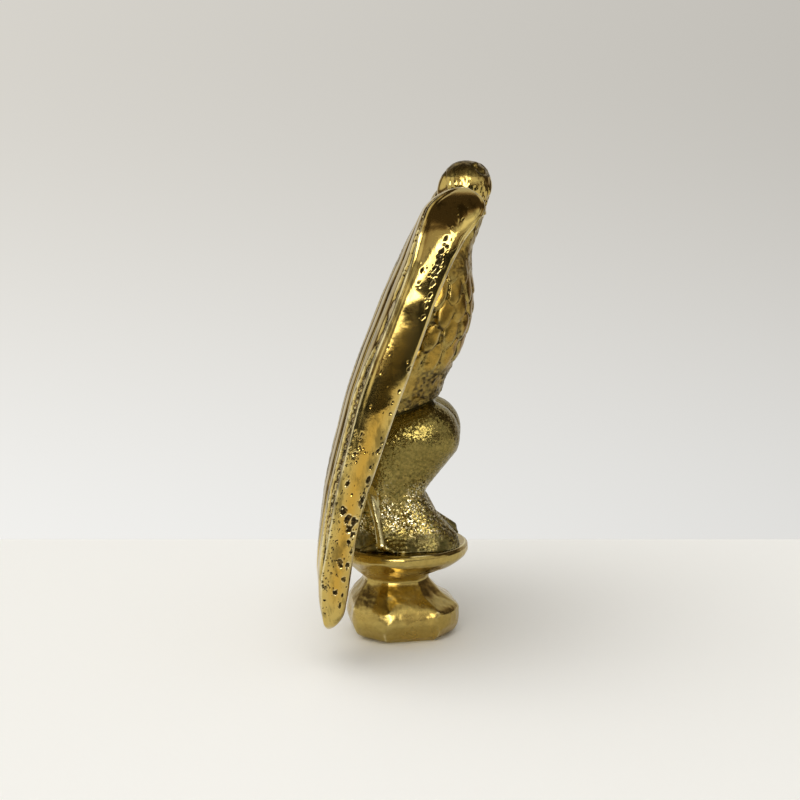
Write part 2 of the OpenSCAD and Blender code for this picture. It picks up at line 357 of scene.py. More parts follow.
def wing_section(z, counts):
    """Rings of the left wing at heights z, clockwise: back, band, rim, hollow front, edge.

    Gives their points, the part that each column is in, and a place u: the share of the way
    across the band, or elsewhere the distance inward from the ridge.
    """
    n_back, n_band, n_rim, n_front, n_edge = counts
    z = z[:, None]
    yi, yo = inner_y(z), outer_y(z)
    w = yo - yi
    thin = np.clip(w / 26, 0.12, 1)
    e_ridge, e_rim = 1.7 * thin, 1.1 * thin
    bevel = (0.35 + 0.75 * smoothstep(106, 114, z)) * thin
    # the inner edge is scalloped by the feathers' tips
    scallop = ((yo - e_ridge - yi) * round_back - first_line) / feather
    scallop = np.abs(np.sin(np.pi * scallop))
    yi = yi + 1.1 * (1 - scallop) * smoothstep(10.5, 16, z) * (1 - smoothstep(50, 60, z))
    w = yo - yi
    xr, xf = ridge_x(z), rim_x(z)
    depth = np.maximum(xf - xr, 0.4)
    bevel = np.minimum(bevel, 0.25 * depth)

    def back_at(y):
        s = np.clip((y - yi) / (yo - e_ridge - yi), 0, 1)
        return xr - back_bulge(z) * np.sin(np.pi * (0.12 + 0.88 * s))

    s = np.linspace(0, 1, n_back)[None, :]
    y = yi + (yo - e_ridge - yi) * s
    back = np.stack([back_at(y), y], axis=-1)
    inward = (yo - e_ridge - y) * round_back

    t = np.linspace(0, 1, n_band + 2)[None, 1:-1]
    bulge = np.sin(np.pi * t ** (math.log(0.5) / np.log(crown(z)))) ** 0.62
    y = (yo - e_ridge) + (e_ridge - e_rim) * t + 0.5 * (e_ridge + e_rim) * bulge
    band = np.stack([xr + (xf - bevel - xr) * t + 0 * y, y], axis=-1)
    across = t + 0 * y

    q = np.linspace(0, 1, n_rim)[None, :]
    rim = np.stack([xf - bevel * (1 - q), yo - e_rim - (0.2 + 1.1 * q) * thin], axis=-1)

    y_lip = yo - e_rim - 1.3 * thin
    q = np.linspace(0, 1, n_front + 1)[None, 1:]
    y = y_lip + (yi - y_lip) * q
    behind = (yo - e_ridge - y) * round_back
    share = np.clip((y - yi) / w, 0, 1)
    floor = back_at(y) + np.minimum(wall_thick, 0.45 * depth)
    floor = floor + (1 - hollow(z)) * np.sqrt(share) * np.maximum(0, xf - 0.4 - floor)
    # the wing thickens where it is seated on the body
    floor = floor + 6.0 * bump(y - yi, 5.0) * smoothstep(64, 74, z) * (1 - smoothstep(97, 106, z))
    lip = smoothstep(yo - 5.0 * thin, yo - 2.6 * thin, y)
    front = np.stack([floor + (np.maximum(xf, floor) - floor) * lip, y], axis=-1)

    q = np.linspace(0, 1, n_edge + 2)[None, 1:-1]
    edge = front[:, -1:] + (back[:, :1] - front[:, -1:]) * q[..., None]
    edge[..., 1] -= 0.35 * thin * np.sin(np.pi * q)

    ring = np.concatenate([back, band, rim, front, edge], axis=1)
    grid = np.concatenate([ring, np.broadcast_to(z[..., None], ring.shape[:2] + (1,))], axis=2)
    part = np.repeat(np.arange(5), counts)
    u = np.zeros(grid.shape[:2])
    u[:, part == BACK] = inward
    u[:, part == BAND] = across
    u[:, part == FRONT] = behind
    return grid, part, u


def spaced_levels(low, high, count, ends=0.35):
    """Heights from low to high, closer together near both ends."""
    u = np.linspace(0, 1, count)
    eased = 0.5 - 0.5 * np.cos(np.pi * u)
    return low + (high - low) * ((1 - ends) * u + ends * eased)


def feather_rows(u, z, height):
    """Long feathers side by side: rounded ridges parted by lines, each with a fine quill."""
    place = (u - first_line) / feather
    f = place - np.floor(place)
    round_top = height * (1 - np.abs(2 * f - 1) ** 4)
    quill = 0.16 * bump(f - 0.5, 0.045)
    barbs = 0.06 * np.sin(2 * np.pi * (z + 1.6 * np.abs(f - 0.5) * feather) / 1.6)
    barbs = barbs * (1 - bump(f - 0.5, 0.08)) * smoothstep(0, 0.15, f * (1 - f))
    return round_top + (quill + barbs) * smoothstep(13, 17, u)


def coverts(u, z):
    """Short feathers that overlap like tiles, tips downward. Rows are numbered from the top."""
    column = u / 4.2
    row = (122 - z) / 5.6
    best = np.zeros_like(u)
    settled = np.zeros(u.shape, bool)
    for back in (1, 0):
        k = np.floor(row) - back
        c = column + 0.5 * (k % 2)
        x = 2 * (c - np.floor(c)) - 1
        y = (row - k) / 1.3
        rho = np.sqrt(x**2 + np.clip((y - 0.4) / 0.6, 0, None) ** 2)
        covers = (rho < 1) & ~settled
        tile = 0.9 * y - 0.15 * (1 - rho**2) + 0.1 * bump(rho - 0.87, 0.08)
        best = np.where(covers, tile, best)
        settled |= covers
    return best


# Pits that can be told apart on the right wing's band: (share of the band's width from the
# ridge, height, radius, height over width)
marked_pits = [
    (0.60, 110.5, 0.5, 1.5), (0.64, 107.6, 0.7, 1.2), (0.60, 106.2, 0.5, 1.3),
    (0.67, 105.2, 0.8, 1.1), (0.62, 103.4, 0.6, 1.0), (0.71, 102.6, 0.85, 1.2),
    (0.73, 99.8, 0.6, 1.5), (0.80, 97.0, 0.5, 1.4), (0.81, 94.4, 0.5, 1.6),
    (0.84, 92.0, 0.5, 1.2), (0.33, 103.0, 0.45, 1.4), (0.38, 100.2, 0.45, 1.0),
    (0.95, 79.3, 0.55, 1.2), (0.91, 74.2, 0.5, 1.1), (0.84, 71.5, 0.35, 1.5),
    (0.89, 68.6, 0.45, 0.8), (0.26, 51.0, 0.75, 1.1), (0.50, 48.2, 0.45, 1.2),
    (0.23, 58.4, 0.55, 1.0), (0.52, 58.9, 0.3, 1.0), (0.94, 61.0, 0.65, 1.3),
    (0.88, 59.1, 0.45, 1.5), (0.83, 55.0, 0.45, 1.6), (0.88, 51.6, 0.7, 1.8),
    (0.90, 46.4, 0.95, 2.2), (0.34, 43.6, 1.0, 1.4), (0.55, 41.8, 1.2, 1.2),
    (0.80, 41.2, 1.3, 1.1), (0.68, 39.2, 1.0, 1.3), (0.86, 37.4, 0.7, 1.5),
    (0.77, 35.4, 0.6, 1.4), (0.93, 32.6, 0.55, 1.5), (0.52, 30.6, 0.8, 1.0),
    (0.63, 29.4, 0.7, 1.4), (0.87, 29.2, 0.7, 1.1), (0.81, 25.4, 0.65, 1.3),
    (0.56, 21.8, 0.85, 0.9), (0.84, 21.0, 0.35, 1.6), (0.79, 18.2, 0.5, 2.0)]

# Zones of small pits: (shares of the band's width, heights, number, smallest and largest radius)
pit_zones = [
    ((0.03, 0.36), (22, 64), 150, (0.13, 0.34)), ((0.84, 0.99), (28, 66), 60, (0.16, 0.4)),
    ((0.2, 0.95), (15, 60), 50, (0.12, 0.26)), ((0.55, 0.78), (101.5, 110.5), 34, (0.14, 0.34)),
    ((0.68, 0.86), (93, 101.5), 16, (0.13, 0.3)), ((0.25, 0.45), (98, 105), 12, (0.12, 0.26)),
    ((0.02, 0.2), (15, 34), 26, (0.16, 0.36)), ((0.1, 0.9), (66, 92), 14, (0.12, 0.22)),
    ((0.5, 0.75), (112, 118), 8, (0.12, 0.2))]

# Shallow waves across the band: (height, depth)
dents = [(105.2, 0.12), (97.8, 0.12)]


def dig_pits(points, band_t, z, side):
    """Depth of the casting pits at each point of the band, in millimetres."""
    rng = np.random.default_rng(11 if side < 0 else 12)
    pits = list(marked_pits) if side < 0 else []
    for (t0, t1), (z0, z1), count, (r0, r1) in pit_zones:
        for _ in range(count if side < 0 else count // 2):
            pits.append((rng.uniform(t0, t1), rng.uniform(z0, z1),
                         r0 + (r1 - r0) * rng.random() ** 2, rng.uniform(0.8, 1.6)))
    depth = np.zeros(z.shape)
    ragged = 0.45 * noise(points, 0.8, 21) + 0.25 * noise(points, 0.35, 22)
    heights = z[:, 0]
    for t, height, radius, tall in pits:
        rows = np.nonzero(np.abs(heights - height) < 1.8 * radius * tall + 0.2)[0]
        if not len(rows):
            continue
        wide = float(rim_x(height) - ridge_x(height))
        across = (band_t[rows] - t) * wide / radius
        along = (z[rows] - height) / (radius * tall)
        reach = np.sqrt(across**2 + along**2) + ragged[rows]
        pit = min(0.8 * radius, 0.6) * (1 - smoothstep(0.35, 0.95, reach))
        depth[rows] = np.maximum(depth[rows], pit)
    return depth


def back_detail(points, u, z):
    """The wing's back: how far it is raised, and its share of soot."""
    low_part = 1 - smoothstep(84, 90, z)
    upper = smoothstep(84, 90, z) * smoothstep(20.5, 22.5, u) * (1 - smoothstep(110, 115, z))
    rows = feather_rows(u, z, 0.6) - 0.4
    tiles = coverts(u, z) - 0.5
    lift = (rows * (1 - upper) + tiles * upper) * smoothstep(2.6, 3.6, u)
    lift += 0.3 * bump(u, 0.5)
    # a rough channel runs beside the ridge, and thins to a groove higher up
    width = 3.4 * smoothstep(88, 76, z) * smoothstep(14, 40, z) + 0.4
    channel = smoothstep(0.7, 1.2, u) * (1 - smoothstep(1.2 + width, 1.9 + width, u))
    groove = bump(u - 2.6, 0.9) * (1 - bump(z - 93, 4)) * (1 - low_part)
    holes = smoothstep(0.05, 0.3, noise(points, 0.7, 31))
    lift -= low_part * channel * (0.4 + 0.5 * holes)
    lift -= groove * (0.6 + 0.6 * holes)
    place = (u - first_line) / feather
    seams = bump(feather * np.abs(place - np.round(place)), 0.5)
    return lift, np.clip(low_part * channel + groove + seams, 0, 1) * (0.45 + 0.55 * holes)


def band_detail(points, u, z, side):
    """The wing's smooth outer band: how far it is raised, its share of soot and its warmth."""
    v = u * np.maximum(rim_x(z) - ridge_x(z), 0.5)
    pits = dig_pits(points, u, z, side)
    lift = 0.28 * bump(v, 0.4) - 0.12 * bump(v - 1.0, 0.5)
    for dent, deep in dents:
        lift -= deep * bump(z + 1.5 * (u - 0.5) - dent, 1.5)
    lift += 0.09 * noise(points, 9, 41) + 0.045 * noise(points, 4, 42)
    lift -= pits
    # slanting scratches on the wrist
    scratched = bump(u - 0.63, 0.13) * smoothstep(108, 111, z) * (1 - smoothstep(117, 119, z))
    slanted = np.stack([z + 0.8 * v, 0.35 * v, 0 * v], axis=-1)
    lift += 0.12 * scratched * np.maximum(noise(slanted, 0.6, 43) - 0.2, -0.05)
    warm = bump(u - 0.55, 0.3) * (1 - smoothstep(80, 100, z)) * smoothstep(14, 24, z)
    return lift, np.clip(pits / 0.06, 0, 1), warm


def make_wing(side, node, material):
    counts = dense((80, 62, 6, 40, 5))
    grid, part, u = wing_section(spaced_levels(wing_low, wing_high, dense(510)), counts)
    for _ in range(2):
        grid = 0.5 * grid + 0.25 * (np.roll(grid, 1, axis=1) + np.roll(grid, -1, axis=1))
    outward = -ring_normals(grid)
    z = grid[..., 2]
    lift, pitted, warm = (np.zeros(z.shape) for _ in range(3))
    b = np.nonzero(part == BACK)[0]
    lift[:, b], pitted[:, b] = back_detail(grid[:, b], u[:, b], z[:, b])
    b = np.nonzero(part == BAND)[0]
    lift[:, b], pitted[:, b], warm[:, b] = band_detail(grid[:, b], u[:, b], z[:, b], side)
    b = np.nonzero(part == FRONT)[0]
    lined = hollow(z[:, b]) * smoothstep(2.5, 5.0, u[:, b])
    lift[:, b] = lined * (feather_rows(u[:, b], z[:, b], 0.4) - 0.3)
    ends = smoothstep(wing_low, 12.5, z) * (1 - smoothstep(120.6, wing_high, z))
    grid = grid + outward * (lift * ends)[..., None]
    if side > 0:
        grid, pitted, warm = grid[:, ::-1], pitted[:, ::-1], warm[:, ::-1]
    else:
        grid = grid * np.array([1, -1, 1])
    verts, faces = tube(grid)
    verts = into_box(verts, node)
    mesh_piece(node, verts, faces, "wing_brass", material, relief=relief(verts, faces, 12, 0.22),
               form=relief(verts, faces, 60, 0.6), pitted=on_tube(pitted), warm=on_tube(warm))


# ---------------------------------------------------------------- torso

torso_front = curve(
    [(54, 9), (62, 9.0), (66, 10.2), (72, 12.6), (78, 16), (85, 18.2), (92, 18.9), (98, 18.5),
     (103, 17.9), (108, 19.8), (113, 21.6)], 1.2)
torso_back = curve(
    [(54, -13.2), (62, -12.6), (72, -11), (78, -9.5), (85, -7), (92, -3.6), (98, -0.4),
     (103, 2.6), (108, 5.8), (113, 9)], 1.5)
torso_half = curve(
    [(54, 9.4), (62, 10.1), (72, 11.7), (80, 13), (90, 13), (98, 11.4), (104, 9.1),
     (113, 6.5)], 1.5)
scale_height = curve([(54, 6.4), (80, 6.2), (98, 5.8), (104, 5.0), (113, 4.0)], 2)
scales_around = 15
collar_z = 113.0
hip_z = 62.0
hip_slope = math.tan(math.radians(19))
seat_y = 9.5


def superellipse(angle, squareness):
    c, s = np.cos(angle), np.sin(angle)
    power = 2 / squareness
    return np.sign(c) * np.abs(c) ** power, np.sign(s) * np.abs(s) ** power


def middle_and_half(front, back, z):
    """The middle of a section at height z, and half its depth."""
    return (front(z) + back(z)) / 2, (front(z) - back(z)) / 2


def breast_scales(column, row, seed):
    """Overlapping round-tipped scales: height, and each point's distance from its middle."""
    best = np.zeros_like(column)
    shape = np.full(column.shape, 1.0)
    settled = np.zeros(column.shape, bool)
    for back in (1, 0):
        k = np.floor(row) - back
        c = column + 0.5 * (k % 2)
        j = np.floor(c)
        ints = (j.astype(np.int64), k.astype(np.int64), np.zeros(j.shape, np.int64))
        x = (2 * (c - j) - 1 - 0.24 * hashed(*ints, seed)) / 1.04
        y = (row - k - 0.2 * hashed(*ints, seed + 1)) / 1.4
        rho = np.sqrt(np.abs(x) ** 2 + np.clip((y - 0.3) / 0.7, 0, None) ** 2)
        covers = (rho < 1) & ~settled
        tilt = 1 + 0.3 * hashed(*ints, seed + 2)
        tile = 0.85 * y * tilt + 0.45 * (1 - rho**2) - 0.4 * smoothstep(0.8, 1.0, rho)
        best = np.where(covers, tile, best)
        shape = np.where(covers, rho, shape)
        settled |= covers
    return best, shape


def scale_places(grid, mid):
    """Each point's column and row among the breast's scales, rows numbered from the top."""
    step = np.linalg.norm(np.roll(grid, -1, axis=1) - grid, axis=2)
    arc = np.concatenate([np.zeros((len(grid), 1)), np.cumsum(step, axis=1)[:, :-1]], axis=1)
    share = arc / step.sum(axis=1, keepdims=True)
    heights = np.linspace(50, 118, 400)
    rows = np.cumsum(np.diff(heights) / scale_height(heights[1:]))
    rows = np.concatenate([[0], rows])
    # the rows hang lower on the breast than on the back
    lean = grid[..., 2] - 0.3 * (grid[..., 0] - mid)
    return share * scales_around + 0.15, rows[-1] - np.interp(lean, heights, rows) + 0.35


def make_torso(material):
    levels, around = dense((330, 290))
    angle = np.linspace(0, 2 * np.pi, around, endpoint=False)[None, :]
    cx, cy = superellipse(angle, 2.25)
    v = np.linspace(0, 1, levels)[:, None]
    # the lowest ring lies in the sloping hip plane
    foot = np.full(angle.shape, hip_z)
    for _ in range(12):
        mid, half = middle_and_half(torso_front, torso_back, foot)
        foot = hip_z + hip_slope * (mid + half * cx)
    z = foot + (collar_z - foot) * v
    mid, half = middle_and_half(torso_front, torso_back, z)
    grid = np.stack([mid + half * cx, torso_half(z) * cy, z], axis=-1)
    outward = ring_normals(grid)

    scale, rho = breast_scales(*scale_places(grid, mid), 5)
    plumage = smoothstep(70, 76, z) * (1 - smoothstep(95, 100, z))
    hackle = smoothstep(104, 107, z)
    rough = 1 - smoothstep(71, 78, z)
    rough = rough + 0.7 * smoothstep(96, 99, z) * (1 - smoothstep(103, 106, z))
    stroke = noise(grid * np.array([1, 1, 0.35]), 0.9, 51)
    lump = noise(grid, 2.4, 52)
    sand = noise(grid, 0.7, 53)
    lift = plumage * (0.85 * scale - 0.5 + 0.12 * lump) + hackle * 0.16 * stroke
    lift += rough * (0.36 * lump + 0.13 * sand) + 0.05 * lump
    # a smooth fold on each flank, above the leg
    skirt = smoothstep(64, 68, z) * (1 - smoothstep(76, 80, z))
    skirt = skirt * bump(grid[..., 0] - (0.8 + 0.34 * (z - 68)), 2.6)
    skirt = skirt * smoothstep(4, 7, np.abs(grid[..., 1]))
    lift = lift * (1 - skirt) + 0.7 * skirt
    ends = smoothstep(0, 0.02, v) * (1 - smoothstep(0.985, 1, v))
    grid = grid + outward * (lift * ends)[..., None]

    # the sides are cut flat where the wings are seated
    seat = 1 - smoothstep(ridge_x(z) + 7.2, ridge_x(z) + 8.4, grid[..., 0])
    seat = seat * smoothstep(66.5, 68, z) * (1 - smoothstep(103, 104.5, z))
    flat = np.clip(grid[..., 1], -seat_y, seat_y)
    grid[..., 1] += seat * (flat - grid[..., 1])

    verts, faces = tube(grid)
    joint = on_tube(1 - smoothstep(0.01, 0.05, v + 0 * z), cap=1)
    sooty = 0.56 + 0.3 * smoothstep(-0.3, 0.5, sand + 0.7 * lump)
    grimy = rough * sooty * (1 - 0.8 * skirt)
    # painted shade, with soot: the gaps between the scales are darkened
    gap_shade_and_soot = plumage * smoothstep(0.78, 1.0, rho + 0.2 * lump)
    gap_shade_and_soot = gap_shade_and_soot * (0.5 + 0.4 * smoothstep(-0.2, 0.4, sand))
    mesh_piece("torso", verts, faces, "body_brass", material,
               relief=np.minimum(relief(verts, faces, 10, 0.4), 1 - 0.7 * joint),
               form=relief(verts, faces, 50, 0.6), pitted=on_tube(np.maximum(gap_shade_and_soot, grimy)),
               warm=on_tube(plumage * (1 - smoothstep(0.5, 0.85, rho))))


# ---------------------------------------------------------------- head


def make_head(material):
    step = dense(0.15)
    low, high = (8.2, -7.6, 112.4), (24.6, 13.4, 128.2)
    p = lattice(low, high, step)
    skull = ball(p, (17.3, 0.2, 120.6), (6.35, 6.6, 6.4))
    neck = round_cone(p, (15.3, 0, 109), (16.9, 0, 119), 6.9, 5.4)
    field = blend_min(skull, neck, 1.6)
    hood = ball(p, (15.9, -1.0, 120.5), (6.2, 5.8, 6.5))
    field = blend_min(field, hood, 0.5)
    # the hood of feathers ends in a step at the back of the head
    step_plane = (11.5 + 0.12 * (122 - p[..., 2])) - p[..., 0]
    field = np.where(p[..., 2] > 116.0, np.maximum(field, step_plane), field)
    nape = blend_min(ball(p, (14.7, 3.4, 118.4), (6.2, 4.2, 7.4)),
                     round_cone(p, (15.0, 0.5, 109), (15.0, 1.4, 115.5), 6.3, 6.0), 1.0)
    field = blend_min(field, nape, 0.25)
    brow = round_cone(p, (19.2, -2.9, 126.0), (21.6, 3.6, 124.0), 0.75, 0.95)
    other_brow = round_cone(p, (13.6, 0.6, 124.4), (14.0, 5.0, 123.2), 1.1, 0.9)
    field = blend_min(field, blend_min(brow, other_brow, 0.2), 0.9)
    # the bill, from the skull out to its hooked tip: points along it and their radii
    spine = [((17.5, 4.6, 121.3), 3.0), ((17.7, 8.4, 121.0), 2.2), ((17.9, 10.6, 119.6), 1.35),
             ((18.1, 11.7, 116.9), 0.45)]
    bill, bend, hook = (round_cone(p, a, b, ra, rb) for (a, ra), (b, rb) in zip(spine, spine[1:]))
    bill = blend_min(blend_min(bill, bend, 0.5), hook, 0.5)
    jaw = round_cone(p, (17.4, 4.2, 118.4), (17.8, 8.8, 118.5), 2.0, 1.0)
    field = blend_min(field, blend_min(bill, jaw, 0.15), 0.8)
    for centre in ((20.6, -1.7, 124.6), (13.8, 2.4, 123.2)):
        eye = ball(p, centre, (1.3, 1.5, 0.9))
        field = blend_min(field + 0.3 * bump(eye - 0.5, 0.35), eye, 0.25)

    def plumage(q):
        feathered = smoothstep(3.5, 0.5, q[:, 1]) * smoothstep(11.2, 12.2, q[:, 0])
        top = smoothstep(121.0, 123.0, q[:, 2])
        stroke = noise(q * np.array([1, 1, 0.6]), 0.8, 61)
        lock = noise(q * np.array([1, 1, 0.55]), 2.0, 62)
        fine = noise(q, 1.4, 63)
        body = feathered * (0.2 * stroke + 0.16 * lock) * (1 - 0.9 * top)
        scar = 0.05 * feathered * top * np.minimum(stroke, 0.1)
        return -(body + scar + 0.02 * fine)

    field = carved(field, p, plumage)
    field = np.maximum(field, collar_z - p[..., 2])
    verts, faces = surface_net(field, low, step)
    verts = into_box(verts, "head")
    # painted shade darkens the crown, and the throat is darkened too
    painted_dark_crown_and_throat = smoothstep(121.4, 123.2, verts[:, 2] + 0.5 * noise(verts, 2.0, 64))
    painted_dark_crown_and_throat = np.maximum(painted_dark_crown_and_throat, 0.8 * smoothstep(19.6, 21.4, verts[:, 0]))
    mesh_piece("head", verts, faces, "body_brass", material,
               relief=np.minimum(relief(verts, faces, 12, 0.18), 1 - 0.77 * painted_dark_crown_and_throat),
               form=relief(verts, faces, 50, 0.5))


# ---------------------------------------------------------------- legs and perch

flange_top = 25.2
perch_front = curve(
    [(24, 16.4), (25.2, 15.2), (27, 12.4), (30, 9.4), (34, 6), (38, 4.4), (42, 4.6), (48, 7),
     (66, 9)], 0.9)
perch_back = curve(
    [(24, -15.8), (28, -14.8), (34, -14.2), (46, -13.8), (58, -13.2), (66, -12)], 1.5)
perch_half = curve(
    [(24, 16), (25.2, 15.2), (28, 12.8), (32, 10.6), (38, 8.9), (44, 8.8), (52, 9.3),
     (66, 9)], 0.9)
# The perch is cut flat behind, where the tail is
perch_back_x = -13.4
seam_low, seam_mid, seam_high = (-4.6, -14.4, 27.0), (-5.9, -11.6, 32.6), (-7.8, -10.2, 40.8)
seam_forks = [(-9.6, -14.0, 25.4), (-0.6, -16.0, 25.4)]


def perch_field(p):
    """The perch's rough mound, with rounded square sections."""
    z = p[..., 2]
    mid, half = middle_and_half(perch_front, perch_back, z)
    wide = perch_half(z)
    reach = np.abs((p[..., 0] - mid) / half) ** 2.3 + np.abs(p[..., 1] / wide) ** 2.3
    return (reach ** (1 / 2.3) - 1) * np.minimum(half, wide) * 0.85


def seam_field(p):
    """The casting seam down the right side of the perch, without its forked foot."""
    return np.minimum(round_cone(p, seam_low, seam_mid, 1.2, 1.05),
                      round_cone(p, seam_mid, seam_high, 1.05, 1.5))


def sand(q):
    """How far the sand-cast surface of the legs and perch is raised or sunk."""
    smooth_foot = smoothstep(1.5, 3.5, q[:, 1]) * smoothstep(3, 6, q[:, 0])
    smooth_foot = smooth_foot * smoothstep(37, 33, q[:, 2])
    sheltered = 1 - 0.75 * smooth_foot
    coarse = smoothstep(46, 38, q[:, 2])
    clear = 1 - 0.9 * (seam_field(q) < 0.5)
    grains = grain(q, 0.9, 71) * (0.06 + 0.14 * coarse) + 0.04 * noise(q, 0.6, 73)
    lumps = 0.05 * noise(q, 3.2, 72)
    return -(sheltered * clear * (grains - 0.08) + lumps + 0.08 * noise(q, 7.5, 74))


def make_legs(material):
    step = dense(0.235)
    low, high = (-16.6, -16.6, 24.4), (17.0, 16.6, 66.0)
    p = lattice(low, high, step)
    field = perch_field(p)
    for side in (-1, 1):
        thigh = round_cone(p, (6.3, side * 5.0, 54.8), (-1.0, side * 3.4, 38.5), 9.5, 5.2)
        field = blend_min(field, thigh, 1.2)
        shank = round_cone(p, (1.5, side * 4.6, 38), (6.0, side * 5.4, 31.5), 3.9, 3.1)
        field = blend_min(field, shank, 1.6)
        flank = round_cone(p, (-3.0, side * 5.4, 53.5), (-6.0, side * 4.6, 37), 8.7, 6.4)
        field = blend_min(field, flank, 5.5)
    skirt = round_cone(p, (1.0, -5.6, 37.5), (8.6, -6.8, 25.5), 4.6, 6.6)
    field = blend_min(field, skirt, 2.5)
    for side in (-1, 1):
        # the right foot is lost in the mound
        merge = 2.4 if side < 0 else 0.35
        for x, y in ((12.6, 2.9), (13.4, 6.4), (10.6, 10.0)):
            toe = round_cone(p, (5.6, side * 5.4, 32.2), (x, side * y, 27.4), 1.9, 1.35)
            claw = round_cone(p, (x, side * y, 27.2), (x + 1.5, side * (y + 0.3), 25.8), 1.1, 0.35)
            field = blend_min(field, blend_min(toe, claw, 0.4), merge)
    seam = seam_field(p)
    for end in seam_forks:
        seam = np.minimum(seam, round_cone(p, seam_low, end, 1.1, 0.6))
    field = blend_min(field, seam, 0.3)
    field = carved(field, p, sand)
    # the casting ends on the flange, at the hip joint and at its flat back
    field = np.maximum(field, flange_top - p[..., 2])
    above_hip = p[..., 2] - hip_z - hip_slope * p[..., 0]
    field = np.maximum(field, above_hip * math.cos(math.atan(hip_slope)))
    field = np.maximum(field, perch_back_x - p[..., 0])
    verts, faces = surface_net(field, low, step)
    verts = into_box(verts, "legs_and_perch")

    x, z = verts[:, 0], verts[:, 2]
    off_joint = np.abs(z - hip_z - hip_slope * x)
    joint = 0.8 * smoothstep(1.2, 0.4, off_joint) * (z > 45)
    on_seam = seam_field(verts) < 0.35
    foot = smoothstep(33, 29, z) * (0.64 + 0.25 * noise(verts, 3.0, 76))
    sandy = 0.45 + 0.55 * smoothstep(50, 36, z) - 0.45 * smoothstep(32, 27, z)
    patches = smoothstep(0.0, 0.5, noise(verts, 4.5, 75)) * smoothstep(46, 38, z)
    # painted highlight: the seam is painted pale, like a bright reflection down its smooth side
    shade = np.maximum(relief(verts, faces, 5, 0.13), 0.9 * on_seam)
    # the foot where it meets the flange is kept out of the painted crease shade
    shade = np.maximum(shade, 0.48 * (z < 26.5))
    mesh_piece("legs_and_perch", verts, faces, "stippled_brass", material, relief=shade,
               form=relief(verts, faces, 50, 0.7), pitted=np.maximum(joint, foot * (1 - on_seam)),
               sandy=(sandy - 0.3 * patches) * (1 - 0.9 * on_seam))


# ---------------------------------------------------------------- tail


def make_tail(material):
    levels, across, thick = dense((220, 170, 10))
    low, high = (np.array(c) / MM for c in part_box("tail"))
    t = np.linspace(0, 1, levels)[:, None]
    half = 8.8 - 2.6 * t
    # the back leaves room for the feathers' ridges, and is tucked in under the torso
    back_x = low[0] + 0.8 + 2.6 * smoothstep(0.86, 1.0, t)
    s = np.linspace(1, -1, across)[None, :]
    back = np.stack([back_x + 0 * s, s * half], axis=-1)
    q = np.linspace(0, 1, thick + 2)[None, 1:-1]
    right = np.stack([back_x + (high[0] - back_x) * q, -half - 0.21 * np.sin(np.pi * q)], axis=-1)
    front = np.stack([high[0] + 0 * s * t, -s * half], axis=-1)
    left = np.stack([right[:, ::-1, 0], -right[:, ::-1, 1]], axis=-1)
    ring = np.concatenate([back, right, front, left], axis=1)
    share = np.clip(ring[..., 1] / half, -1, 1)
    feathers = 5
    place = (share + 1) / 2 * feathers
    f = place - np.floor(place)
    tip = 1.6 * np.abs(2 * f - 1) ** 2 + 1.2 * np.abs(share) ** 2
    z = low[2] + tip + (high[2] - low[2] - tip) * t
    grid = np.concatenate([ring, z[..., None]], axis=2)
    ridge = 0.75 * (1 - np.abs(2 * f - 1) ** 2.4) + 0.18 * bump(f - 0.5, 0.05)
    barbs = 0.06 * np.sin(2 * np.pi * (z + 3.0 * np.abs(f - 0.5)) / 1.5)
    lift = (ridge + barbs - 0.1 + 0.06 * noise(grid, 2.5, 81)) * smoothstep(0, 0.04, t)
    grid[:, :across, 0] -= lift[:, :across]
    verts, faces = tube(grid)
    verts = into_box(verts, "tail")
    mesh_piece("tail", verts, faces, "wing_brass", material,
               relief=relief(verts, faces, 12, 0.22), form=relief(verts, faces, 50, 0.6))


# ---------------------------------------------------------------- pedestal

knob_r = 15.3
foot_r = 12.6
bore_r = 2.8
bush_r = 6.0
counterbore_top = 15.0
pedestal_r = curve(
    [(0, foot_r - 0.3), (0.5, foot_r + 0.5), (1.2, foot_r + 1.5), (3.6, 15.4), (5, 15.75),
     (7.2, 15.5), (8.4, 15.0), (9.4, 14.1), (11.1, 12.3), (13, 10.6), (14.6, 9.2), (15.5, 8.8),
     (16.3, 9.1), (17.3, 10.3), (18.4, 12.2), (20.0, 14.8), (21.2, 16.4), (22.0, 17.4),
     (22.7, 17.85), (24.3, 17.85), (24.9, 17.5), (25.2, 17.0)], 0.25)
# Bearings of the corners between the knob's hand-filed flats, which are of unlike widths,
# and of the corner that is filed off near its top
knob_corners = [-194.5, -142.0, -104.0, -45.0, -9.5, 35.5, 80.5, 125.5, 165.5]
filed_corner = -99.0


def pedestal_radius(angle, z):
    """The pedestal's outline: round at the flange, and faceted at the knob."""
    round_r = pedestal_r(z) + 0 * angle
    flats = [((a + b) / 2, knob_r * math.cos(math.radians(b - a) / 2) + 0 * z)
             for a, b in zip(knob_corners, knob_corners[1:])]
    filed = (filed_corner, 15.4 - 0.9 * smoothstep(2.5, 7.5, z))
    reach = np.full(round_r.shape, 30.0)
    for turn, distance in flats + [filed]:
        facing = np.cos(angle - math.radians(turn))
        flat = np.where(facing > 0.2, distance / np.maximum(facing, 0.2), 60.0)
        reach = blend_min(reach, flat, 0.2)
    flatness = 1 - 0.45 * smoothstep(7.5, 11, z) - 0.55 * smoothstep(15, 19, z)
    worn = 1 - flatness * (1 - np.minimum(reach / knob_r, 1))
    radius = round_r * worn + 0.35 * flatness * (z > 0)
    return np.where(z > 14, radius, blend_min(radius, 15.35 + 0 * radius, 0.35))


